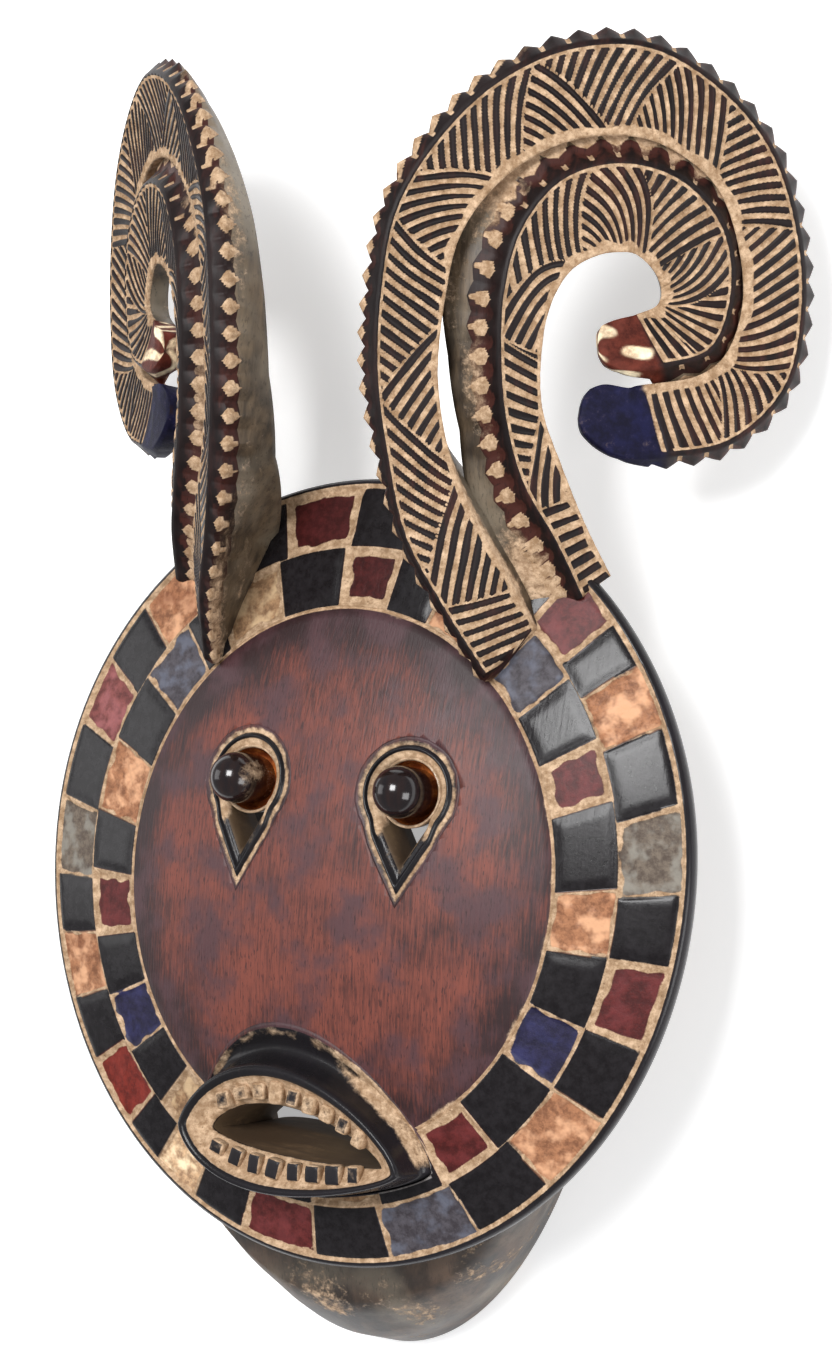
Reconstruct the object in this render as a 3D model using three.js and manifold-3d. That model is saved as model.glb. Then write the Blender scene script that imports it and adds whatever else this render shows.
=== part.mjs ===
// Carved wooden face mask: an oval face plate with a checkered band, a hollow back,
// staring eyes, a jutting toothed mouth and two curled double horns. Millimetres.
// The mask lies on its back rim: X to the viewer's right, Y up the face, Z out of the face.
import * as THREE from 'three';
import Module from 'manifold-3d';
import { mergeVertices } from 'three/addons/utils/BufferGeometryUtils.js';

const wasm = await Module();
wasm.setup();

// Face plate: three ovals with their half width, half height above and below, middle and level
const plateOuter = { wide: 115, above: 118, below: 125, middle: 0, level: 0 };
const bandMiddle = { wide: 96, above: 100.5, below: 105, middle: -2.8, level: 5 };
const fieldEdge = { wide: 77.3, above: 84.5, below: 84.5, middle: -5.5, level: 8.9 };
const rimRound = 2.2;
const plateThick = 9;
const fieldRise = 12.5;
const fieldStep = 0.9;
const ovalSides = 48;

// Hollow back: at each share of the way to the back rim, its half width, lowest and highest point
// as shares of the face plate's own. Below 1, the fullness squares the upper half's shoulders.
const hullDepth = 52;
const hullSections = [
  { share: 0, wide: 0.783, low: 1.040, high: 0.898 },
  { share: 0.2, wide: 0.765, low: 1.136, high: 0.932 },
  { share: 0.54, wide: 0.696, low: 1.224, high: 0.949 },
  { share: 1, wide: 0.609, low: 1.264, high: 0.949 },
];
const hullFullness = 0.72;
const hullWall = 9;
const faceThick = 12;

// Eyes
const eyeAside = 29;
const eyeHeight = 22.4;
const socketMouth = 12.4;
const socketFloor = 9.2;
const socketDeep = 8;
const ballRadius = 7.4;
const ballRise = 3.5;
const ballShift = [-2.8, -0.6];
const tearTop = 11;
const tearTip = 23.5;
const tearHalfWidth = 5.6;
const roundSides = 18;

// Mouth: a lopsided almond, its upper and lower bulge leaning to the left
const mouthX = -1;
const mouthY = -89.4;
const mouthTilt = -3.6;
const lipHalfWidth = 40.5;
const lipAbove = 23;
const lipBelow = 14.6;
const lipLevel = 23;
const muzzleFoot = 11;
const muzzleBrow = 18;
const lipBand = 3.6;
const lipBandSide = 5;
const muzzleFlareAbove = 10.5;
const muzzleFlareBelow = 2.5;
const mouthOpenHalf = 31.5;
const mouthOpenAbove = 11.2;
const mouthOpenBelow = 3.2;
const mouthOpenLevel = 17;
const mouthThroatAbove = 12;
const mouthThroatBelow = -4;
const mouthSides = 36;
const almondPower = 1.3;
const almondLeanAbove = 0.25;
const almondLeanBelow = 0.35;
const toothSize = [4.6, 4.2, 3.4];
const upperTeeth = 9;
const lowerTeeth = 8;

// Horns: how far they reach to the side and up from the face's middle, and the plane of the carved
// faces, its level at x = y = 0 and its fall to the side and rise upward
const hornReach = 129;
const hornHeight = 247;
const hornPlane = { level: 57.6, aside: -0.84, upward: 0.163 };
const toothWidth = 5.5;
const toothNotch = 2.2;
const toothFall = 6;
const notchRise = 1.2;
const flankShare = 0.72;
const hornEdgeRound = 1.5;
const tipEdge = 0.25;

// Each strand: border line x, y and inner edge x, y in the front view, as shares of the horns' reach
// and height, then how far both sink below the horn plane, the strand's thickness, the share of that
// thickness that runs straight back into the face plate instead of square to the horn plane, and how
// far its outer flank slopes outward.
const outerStrand = {
  teeth: 51,
  faceFall: 3.2,
  rows: [
    [0.399, 0.243, 0.481, 0.304, 8, 8, 20, 1, -3],
    [0.344, 0.315, 0.442, 0.366, 1.5, 3, 34, 1, -5],
    [0.279, 0.396, 0.390, 0.431, 0, 0, 42, 1, -6],
    [0.248, 0.488, 0.353, 0.509, 0, 0, 25, 0.4, -4],
    [0.230, 0.583, 0.341, 0.590, 0, 0, 19, 0, -3],
    [0.236, 0.680, 0.354, 0.681, 0, 0, 18, 0, -3],
    [0.264, 0.777, 0.380, 0.754, 0, 0, 16, 0, -2.6],
    [0.339, 0.864, 0.436, 0.812, 0, 0, 13.5, 0, -2],
    [0.443, 0.937, 0.516, 0.859, 0, 0, 10.5, 0, -1.5],
    [0.573, 0.986, 0.599, 0.885, 0, 0, 10, 0, -1],
    [0.714, 0.999, 0.698, 0.894, 0, 0, 10, 0, -1],
    [0.840, 0.963, 0.770, 0.882, 0, 0, 10, 0, -1],
    [0.936, 0.898, 0.843, 0.847, 0, 0, 10, 0, -1],
    [0.985, 0.811, 0.881, 0.789, 0, 0, 10, 0, -1],
    [0.998, 0.715, 0.893, 0.713, 0, 0, 10, 0, -1],
    [0.968, 0.619, 0.863, 0.651, 0, 0, 10, 0, -1],
    [0.868, 0.549, 0.815, 0.623, 0, 0, 10, 0, -1],
    [0.727, 0.522, 0.698, 0.602, 0, 0, 10, 0, -1],
  ],
  tip: [
    [0.671, 0.517, 0.682, 0.599, 0.4, 9.5],
    [0.624, 0.528, 0.632, 0.600, 1.2, 8],
    [0.583, 0.549, 0.592, 0.589, 2.6, 5],
  ],
};
const innerStrand = {
  teeth: 31,
  faceFall: 2.6,
  rows: [
    [0.581, 0.345, 0.636, 0.374, 7, 7, 11, 0, 6],
    [0.545, 0.409, 0.602, 0.432, 2, 2, 15, 0, 8],
    [0.491, 0.473, 0.564, 0.498, 0, 0, 17, 0, 8],
    [0.460, 0.545, 0.529, 0.562, 0, 0, 18, 0, 8],
    [0.450, 0.621, 0.526, 0.626, 0, 0, 18, 0, 9.5],
    [0.455, 0.697, 0.543, 0.687, 0, 0, 17, 0, 13],
    [0.487, 0.773, 0.580, 0.730, 0, 0, 14, 0, 10],
    [0.560, 0.835, 0.629, 0.751, 0, 0, 11, 0, 6],
    [0.666, 0.862, 0.664, 0.757, 0, 0, 10, 0, 4],
    [0.774, 0.850, 0.695, 0.757, 0, 0, 10, 0, 3],
    [0.850, 0.801, 0.733, 0.736, 0, 0, 10, 0, 3],
    [0.868, 0.728, 0.743, 0.714, 0, 0, 10, 0, 3],
    [0.831, 0.656, 0.735, 0.700, 0, 0, 10, 0, 3],
    [0.726, 0.627, 0.693, 0.685, 0, 0, 10, 0, 3],
  ],
  tip: [
    [0.667, 0.620, 0.651, 0.676, 0.5, 9],
    [0.624, 0.629, 0.617, 0.666, 2, 6],
  ],
};

// The loft of a row of rings with the same number of points, closed at both ends
function loft(rings) {
  const count = rings[0].length;
  const points = rings.flat();
  const faces = [];
  for (let r = 0; r < rings.length - 1; r += 1) {
    for (let i = 0; i < count; i += 1) {
      const a = r * count + i;
      const b = r * count + (i + 1) % count;
      faces.push(a, b, b + count, a, b + count, a + count);
    }
  }
  for (const [ring, start, turned] of [
    [rings[0], 0, true],
    [rings[rings.length - 1], (rings.length - 1) * count, false],
  ]) {
    const middle = points.length;
    const sum = ring.reduce((s, p) => [s[0] + p[0], s[1] + p[1], s[2] + p[2]], [0, 0, 0]);
    points.push(sum.map((v) => v / count));
    for (let i = 0; i < count; i += 1) {
      const a = start + i;
      const b = start + (i + 1) % count;
      faces.push(...(turned ? [middle, b, a] : [middle, a, b]));
    }
  }
  return solidFrom(points, faces);
}

// A closed solid with its faces outward, from points and triangles
function solidFrom(points, faces) {
  let volume = 0;
  for (let f = 0; f < faces.length; f += 3) {
    const [a, b, c] = [points[faces[f]], points[faces[f + 1]], points[faces[f + 2]]];
    volume += a[0] * (b[1] * c[2] - b[2] * c[1]) + a[1] * (b[2] * c[0] - b[0] * c[2])
      + a[2] * (b[0] * c[1] - b[1] * c[0]);
  }
  const index = volume > 0 ? faces : faces.slice().reverse();
  const geometry = new THREE.BufferGeometry();
  geometry.setAttribute('position', new THREE.Float32BufferAttribute(points.flat(), 3));
  geometry.setIndex(index);
  return solidOf(geometry);
}

function solidOf(geometry) {
  const plain = geometry.clone();
  plain.deleteAttribute('normal');
  plain.deleteAttribute('uv');
  const merged = mergeVertices(plain, 1e-4);
  return new wasm.Manifold(new wasm.Mesh({
    numProp: 3,
    vertProperties: Float32Array.from(merged.attributes.position.array),
    triVerts: Uint32Array.from(merged.index.array),
  }));
}

// A point of an oval at an angle, grown outward by some millimetres and scaled
function ovalPoint(oval, angle, grow = 0, scale = 1) {
  const half = Math.sin(angle) > 0 ? oval.above : oval.below;
  return [
    (oval.wide * scale + grow) * Math.cos(angle),
    oval.middle + (half * scale + grow) * Math.sin(angle),
  ];
}

function ovalRing(oval, level, grow = 0, scale = 1) {
  const ring = [];
  for (let i = 0; i < ovalSides; i += 1) {
    const angle = (2 * Math.PI * i) / ovalSides;
    ring.push([...ovalPoint(oval, angle, grow, scale), level]);
  }
  return ring;
}

// Height of the domed field at a share of the way from its middle to its edge
function domeLevel(share) {
  return fieldEdge.level + fieldRise * (1 - share * share);
}

function fieldLevel(x, y) {
  const half = y > fieldEdge.middle ? fieldEdge.above : fieldEdge.below;
  return domeLevel(Math.min(1, Math.hypot(x / fieldEdge.wide, (y - fieldEdge.middle) / half)));
}

function plateSolid() {
  const rings = [
    ovalRing(plateOuter, -plateThick, -3),
    ovalRing(plateOuter, -plateThick * 0.7, rimRound * 0.6),
    ovalRing(plateOuter, -plateThick * 0.35, rimRound),
    ovalRing(plateOuter, -0.8, rimRound * 0.7),
    ovalRing(plateOuter, plateOuter.level),
    ovalRing(bandMiddle, bandMiddle.level),
    ovalRing(fieldEdge, fieldEdge.level),
    ovalRing(fieldEdge, fieldEdge.level - fieldStep, -0.9),
  ];
  for (const share of [0.96, 0.83, 0.66, 0.46, 0.22]) {
    rings.push(ovalRing(fieldEdge, domeLevel(share), 0, share));
  }
  return loft(rings);
}

// One section of the hull, an oval whose upper half has squarer shoulders
function hullRing(section, inset, level) {
  const low = -section.low * plateOuter.below;
  const high = section.high * plateOuter.above;
  const wide = section.wide * plateOuter.wide - inset;
  const half = (high - low) / 2 - inset;
  const ring = [];
  for (let i = 0; i < ovalSides; i += 1) {
    const angle = (2 * Math.PI * i) / ovalSides;
    const across = Math.cos(angle);
    const power = Math.sin(angle) > 0 ? hullFullness : 1;
    const x = wide * Math.sign(across) * Math.pow(Math.abs(across), power);
    ring.push([x, (low + high) / 2 + half * Math.sin(angle), level]);
  }
  return ring;
}

function hullLevel(section) {
  const start = plateThick / 2;
  return -(start + (hullDepth - start) * section.share);
}

function hullSolid() {
  return loft(hullSections.map((section) => hullRing(section, 0, hullLevel(section))));
}

// The hollow: the hull's sections less the wall, then a vault under the domed face
function hollowSolid() {
  const last = hullSections[hullSections.length - 1];
  const rings = [hullRing(last, hullWall, -hullDepth - 5)];
  for (const section of hullSections.slice(1).reverse()) {
    rings.push(hullRing(section, hullWall, hullLevel(section)));
  }
  const vault = { ...fieldEdge, wide: fieldEdge.wide - 2, middle: fieldEdge.middle - 6 };
  const vaultTop = fieldEdge.level + fieldRise - faceThick;
  for (const [share, level] of [[0.98, -9], [0.84, 0.5], [0.6, vaultTop * 0.72], [0.3, vaultTop]]) {
    rings.push(ovalRing(vault, level, 0, share));
  }
  return loft(rings);
}

// A lopsided almond ring round the mouth's middle, at one level or a level for each point
function almondRing(halfWidth, above, below, level) {
  const turn = (mouthTilt * Math.PI) / 180;
  const ring = [];
  for (let i = 0; i < mouthSides; i += 1) {
    const angle = (2 * Math.PI * i) / mouthSides;
    const t = Math.cos(angle);
    const bulge = Math.pow(Math.abs(Math.sin(angle)), almondPower);
    const up = Math.sin(angle) > 0;
    const y = up ? above * bulge * (1 - almondLeanAbove * t) : -below * bulge * (1 - almondLeanBelow * t);
    const x = halfWidth * t;
    ring.push([
      mouthX + x * Math.cos(turn) - y * Math.sin(turn),
      mouthY + x * Math.sin(turn) + y * Math.cos(turn),
      level,
    ]);
  }
  return ring;
}

function muzzleSolid() {
  return loft([
    almondRing(lipHalfWidth + 1, lipAbove + muzzleFlareAbove, lipBelow + muzzleFlareBelow, -2),
    almondRing(lipHalfWidth + 1, lipAbove + muzzleFlareAbove, lipBelow + muzzleFlareBelow, muzzleFoot),
    almondRing(lipHalfWidth + 0.6, lipAbove + muzzleFlareAbove * 0.4, lipBelow + 1.2, muzzleBrow),
    almondRing(lipHalfWidth, lipAbove + 0.6, lipBelow + 0.3, lipLevel - 1.5),
    almondRing(lipHalfWidth - 1.2, lipAbove - 1, lipBelow - 0.8, lipLevel),
  ]);
}

function mouthCut() {
  const bandHalf = lipHalfWidth - lipBandSide;
  return loft([
    almondRing(mouthOpenHalf - 3, mouthThroatAbove, mouthThroatBelow, -hullDepth * 0.4),
    almondRing(mouthOpenHalf, mouthOpenAbove, mouthOpenBelow, mouthOpenLevel),
    almondRing(bandHalf, lipAbove - lipBand, lipBelow - lipBand, lipLevel - 1.6),
    almondRing(bandHalf, lipAbove - lipBand, lipBelow - lipBand, lipLevel + 3),
  ]);
}

// One row of small square teeth between the opening and the lip
function mouthTeeth(count, above) {
  const turn = (mouthTilt * Math.PI) / 180;
  const blocks = [];
  for (let i = 0; i < count; i += 1) {
    const t = -0.78 + (1.5 * i) / (count - 1);
    const bulge = Math.pow(Math.sqrt(1 - t * t), almondPower);
    const lean = 1 - (above ? almondLeanAbove : almondLeanBelow) * t;
    const edge = above ? mouthOpenAbove : -mouthOpenBelow;
    const lip = above ? lipAbove - lipBand : lipBand - lipBelow;
    const y = ((edge + lip) / 2) * bulge * lean;
    const x = (mouthOpenHalf + 2) * t;
    const block = new THREE.BoxGeometry(...toothSize);
    block.rotateZ(turn - (above ? 0.5 : -0.3) * t);
    block.translate(
      mouthX + x * Math.cos(turn) - y * Math.sin(turn),
      mouthY + x * Math.sin(turn) + y * Math.cos(turn),
      mouthOpenLevel + 2.2,
    );
    blocks.push(solidOf(block));
  }
  return blocks;
}

function roundRing(x, y, radius, level) {
  const ring = [];
  for (let i = 0; i < roundSides; i += 1) {
    const angle = (2 * Math.PI * i) / roundSides;
    ring.push([x + radius * Math.cos(angle), y + radius * Math.sin(angle), level]);
  }
  return ring;
}

function eyeCuts(side) {
  const x = side * eyeAside;
  const face = fieldLevel(x, eyeHeight);
  const slope = (socketMouth - socketFloor) / socketDeep;
  const socket = loft([
    roundRing(x, eyeHeight, socketFloor, face - socketDeep),
    roundRing(x, eyeHeight, socketMouth + slope * 4, face + 4),
  ]);
  const tear = [
    [x - tearHalfWidth, eyeHeight - tearTop],
    [x, eyeHeight - tearTip],
    [x + tearHalfWidth, eyeHeight - tearTop],
    [x, eyeHeight - tearTop + 4],
  ];
  const slit = loft([-hullDepth * 0.5, face + 6].map((level) => tear.map((p) => [...p, level])));
  return [socket, slit];
}

function eyeBall(side) {
  const x = side * eyeAside + ballShift[side < 0 ? 0 : 1];
  const face = fieldLevel(side * eyeAside, eyeHeight);
  const rings = [
    roundRing(x, eyeHeight, ballRadius * 0.95, face - socketDeep - 1),
    roundRing(x, eyeHeight, ballRadius, face + ballRise),
  ];
  for (const angle of [28, 54, 76]) {
    const turn = (angle * Math.PI) / 180;
    const radius = ballRadius * Math.cos(turn);
    rings.push(roundRing(x, eyeHeight, radius, face + ballRise + ballRadius * Math.sin(turn)));
  }
  return loft(rings);
}

// The horn plane's normal, and its level over a point of the front view
const hornNormal = new THREE.Vector3(-hornPlane.aside, -hornPlane.upward, 1).normalize();

function hornLevel(x, y) {
  return hornPlane.level + hornPlane.aside * x + hornPlane.upward * y;
}

// A ring of the strand: border line, tooth or notch, flank, rounded back and the carved face's foot
function strandStation(border, inner, way, thick, slope, toothShare, outward, faceFall) {
  const across = inner.clone().sub(border);
  const width = across.length();
  across.normalize();
  const at = (aside, down) => border.clone().addScaledVector(across, aside)
    .addScaledVector(way, down).toArray();
  const reach = toothWidth - toothNotch * (1 - toothShare);
  const fall = Math.min(toothFall, thick * 0.55) - notchRise * (1 - toothShare);
  return [
    at(0, 0),
    at(-reach * outward, fall * outward + 0.4),
    at(-(toothWidth - 1) * outward - slope, thick * flankShare),
    at(-0.4 * slope, thick),
    at(width - hornEdgeRound, thick),
    at(width, faceFall * outward),
  ];
}

// A strand of the horn: rings along its two edges, one at each tooth and one at each notch
function strandSolid(strand) {
  const point = (aside, upward, sink) => {
    const [x, y] = [aside * hornReach, upward * hornHeight];
    return new THREE.Vector3(x, y, hornLevel(x, y) - sink);
  };
  const borders = strand.rows.map(([ax, ay, , , sink]) => point(ax, ay, sink));
  const inners = strand.rows.map(([, , bx, by, , sink]) => point(bx, by, sink));
  const borderLine = new THREE.CatmullRomCurve3(borders, false, 'centripetal');
  const innerLine = new THREE.CatmullRomCurve3(inners, false, 'centripetal');
  const straightBack = new THREE.Vector3(0, 0, -1);
  const intoHorn = hornNormal.clone().negate();
  const last = strand.rows.length - 1;
  const steps = strand.teeth * 2;
  const rings = [];
  for (let i = 0; i <= steps; i += 1) {
    const along = i / steps;
    const low = Math.min(Math.floor(along * last), last - 1);
    const share = along * last - low;
    const [thick, root, slope] = [6, 7, 8].map(
      (k) => strand.rows[low][k] * (1 - share) + strand.rows[low + 1][k] * share,
    );
    const way = intoHorn.clone().lerp(straightBack, root).normalize();
    const border = borderLine.getPoint(along);
    const inner = innerLine.getPoint(along);
    rings.push(strandStation(border, inner, way, thick, slope, i % 2, 1, strand.faceFall));
  }
  for (const [ax, ay, bx, by, sink, thick] of strand.tip) {
    const ends = [point(ax, ay, sink), point(bx, by, sink)];
    rings.push(strandStation(...ends, intoHorn, thick, 0, 0.5, tipEdge, strand.faceFall));
  }
  return loft(rings);
}

function mirrored(points) {
  return points.map((p) => [-p[0], p[1], p[2]]);
}

// The same solid on the other side of the face
function mirrorSolid(solid) {
  const mesh = solid.getMesh();
  const points = [];
  for (let i = 0; i < mesh.vertProperties.length; i += mesh.numProp) {
    points.push([mesh.vertProperties[i], mesh.vertProperties[i + 1], mesh.vertProperties[i + 2]]);
  }
  return solidFrom(mirrored(points), Array.from(mesh.triVerts));
}

function maskSolid() {
  let body = plateSolid().add(hullSolid());
  for (const strand of [outerStrand, innerStrand]) {
    const horn = strandSolid(strand);
    body = body.add(horn).add(mirrorSolid(horn));
  }
  body = body.add(muzzleSolid());
  body = body.subtract(hollowSolid());
  for (const side of [-1, 1]) {
    for (const cut of eyeCuts(side)) body = body.subtract(cut);
    body = body.add(eyeBall(side));
  }
  body = body.subtract(mouthCut());
  for (const tooth of [...mouthTeeth(upperTeeth, true), ...mouthTeeth(lowerTeeth, false)]) {
    body = body.add(tooth);
  }
  return body;
}

function meshOf(name, solid, material) {
  const mesh = solid.getMesh();
  const geometry = new THREE.BufferGeometry();
  const positions = [];
  for (let i = 0; i < mesh.vertProperties.length; i += mesh.numProp) {
    positions.push(mesh.vertProperties[i], mesh.vertProperties[i + 1], mesh.vertProperties[i + 2]);
  }
  geometry.setAttribute('position', new THREE.Float32BufferAttribute(positions, 3));
  geometry.setIndex(Array.from(mesh.triVerts));
  geometry.computeVertexNormals();
  const part = new THREE.Mesh(geometry, material);
  part.name = name;
  return part;
}

const darkWood = new THREE.MeshStandardMaterial({ color: 0x3a1c16, roughness: 0.42, metalness: 0 });
const mask = meshOf('mask', maskSolid(), darkWood);

// The back rim lies on z = 0 and the middle of the length on y = 0
mask.geometry.computeBoundingBox();
const { min, max } = mask.geometry.boundingBox;
mask.geometry.translate(0, -(min.y + max.y) / 2, hullDepth);

const group = new THREE.Group();
group.add(mask);
export default group;
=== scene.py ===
import bpy
import numpy as np
from mathutils import Matrix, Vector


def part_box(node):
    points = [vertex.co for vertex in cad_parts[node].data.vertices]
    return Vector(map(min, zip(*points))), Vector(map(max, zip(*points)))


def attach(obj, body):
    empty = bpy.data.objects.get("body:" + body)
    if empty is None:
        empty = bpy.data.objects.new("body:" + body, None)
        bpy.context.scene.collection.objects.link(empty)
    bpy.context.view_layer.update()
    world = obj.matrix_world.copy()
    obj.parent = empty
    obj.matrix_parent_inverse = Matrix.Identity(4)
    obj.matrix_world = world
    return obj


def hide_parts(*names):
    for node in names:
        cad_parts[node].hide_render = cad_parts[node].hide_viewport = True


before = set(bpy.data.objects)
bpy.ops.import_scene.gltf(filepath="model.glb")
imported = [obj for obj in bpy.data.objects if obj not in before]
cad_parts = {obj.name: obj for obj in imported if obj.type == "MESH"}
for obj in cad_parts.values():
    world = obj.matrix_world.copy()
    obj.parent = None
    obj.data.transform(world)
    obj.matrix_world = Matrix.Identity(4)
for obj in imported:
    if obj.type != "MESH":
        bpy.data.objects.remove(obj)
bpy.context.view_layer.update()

# the hull's lowest point is 158 mm below the face's middle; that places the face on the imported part
hullBottom = -0.158
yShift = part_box("mask")[0].y - hullBottom
hullDepth = 52.0


def toMetres(points):
    # millimetres about the face's middle, turned to metres and lifted by the hull's depth
    return np.asarray(points, float) / 1000.0 + np.array([0.0, yShift, hullDepth / 1000.0])


def smoothStep(low, high, value):
    # 0 below low, 1 above high, a smooth rise between
    t = np.clip((value - low) / (high - low), 0, 1)
    return t * t * (3 - 2 * t)


def wobble(x, y, seed, size=1.0):
    # slow irregular values between about -1 and 1: six sine waves in drawn directions
    draw = np.random.default_rng(seed)
    total = 0
    for k in range(6):
        angle, phase, rate = draw.uniform(0, 6.28), draw.uniform(0, 6.28), draw.uniform(0.5, 2.2) / size
        total = total + np.sin(rate * (x * np.cos(angle) + y * np.sin(angle)) + phase)
    return total / 3


def turns(count):
    # equal steps once round a circle, in radians
    return np.arange(count) * 2 * np.pi / count


def unit(vectors):
    # each vector over its own length
    return vectors / np.linalg.norm(vectors, axis=-1, keepdims=True)


def turnedBy(angle, x, y):
    # x and y turned counter-clockwise by the angle
    return np.stack([x * np.cos(angle) - y * np.sin(angle), x * np.sin(angle) + y * np.cos(angle)], -1)


def gridQuads(rows, columns, ringOfRows=False):
    # quads between neighbouring rows; the columns close round, and so may the rows
    r = np.arange(rows if ringOfRows else rows - 1)
    c = np.arange(columns)
    here, there = (r * columns)[:, None], (((r + 1) % rows) * columns)[:, None]
    nextColumn = (c + 1) % columns
    quads = [here + c, here + nextColumn, there + nextColumn, there + c]
    return np.stack(quads, -1).reshape(-1, 4)


def closedTube(rings, ends):
    # rings joined one to the next, and a fan from each end point to the first ring and to the last
    rows, columns = rings.shape[:2]
    here = np.arange(columns)
    after = (here + 1) % columns
    first, last = np.full(columns, rows * columns), np.full(columns, rows * columns + 1)
    start = (rows - 1) * columns
    caps = [np.stack([first, after, here], -1), np.stack([last, start + here, start + after], -1)]
    return np.concatenate([rings.reshape(-1, 3), ends]), gridQuads(rows, columns), np.concatenate(caps)


def signedVolume(points, quads):
    # six times the volume of the quads' cones to the origin; negative when they face inward
    p = [points[quads[:, k]] for k in range(4)]
    total = np.einsum("ij,ij->i", p[0], np.cross(p[1], p[2])).sum()
    return total + np.einsum("ij,ij->i", p[0], np.cross(p[2], p[3])).sum()


def addValues(mesh, key, value):
    # one number or one colour for each point, read by the materials
    value = np.asarray(value, np.float32)
    if value.ndim == 2:
        colour = np.concatenate([value, np.ones((len(value), 1), np.float32)], 1)
        mesh.attributes.new(key, "FLOAT_COLOR", "POINT").data.foreach_set("color", colour.ravel())
    else:
        mesh.attributes.new(key, "FLOAT", "POINT").data.foreach_set("value", value.ravel())


def addObject(name, data):
    # a new object that shows the data, linked into the scene
    made = bpy.data.objects.new(name, data)
    bpy.context.scene.collection.objects.link(made)
    return made


def newPiece(name, points, quads, caps=None, values=None, slots=None, materials=()):
    # points in mm; caps are triangles; slots give each quad its material, and the caps take the first and
    # the last quad's; all faces are turned outward
    points = toMetres(points)
    caps = np.zeros((0, 3), int) if caps is None else caps
    if signedVolume(points - points.mean(0), quads) < 0:
        quads, caps = quads[:, ::-1], caps[:, ::-1]
    mesh = bpy.data.meshes.new(name)
    corners = np.concatenate([quads.ravel(), caps.ravel()]).astype(np.int32)
    starts = np.concatenate([np.arange(len(quads)) * 4, len(quads) * 4 + np.arange(len(caps)) * 3])
    mesh.vertices.add(len(points))
    mesh.vertices.foreach_set("co", points.astype(np.float32).ravel())
    mesh.loops.add(len(corners))
    mesh.loops.foreach_set("vertex_index", corners)
    mesh.polygons.add(len(starts))
    mesh.polygons.foreach_set("loop_start", starts.astype(np.int32))
    mesh.update(calc_edges=True)
    mesh.validate()
    mesh.polygons.foreach_set("use_smooth", np.ones(len(mesh.polygons), bool))
    for key, value in (values or {}).items():
        addValues(mesh, key, value)
    for material in materials:
        mesh.materials.append(material)
    if slots is not None:
        capSlots = np.where(np.arange(len(caps)) < len(caps) // 2, slots[0], slots[-1])
        full = np.concatenate([slots, capSlots]).astype(np.int32)
        mesh.polygons.foreach_set("material_index", full)
    return addObject(name, mesh)


def keepPiece(piece):
    # the piece rides on the one body and stands for the part's only node
    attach(piece, "root")
    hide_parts("mask")
    print("made", piece.name, len(piece.data.vertices), "points")


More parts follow.
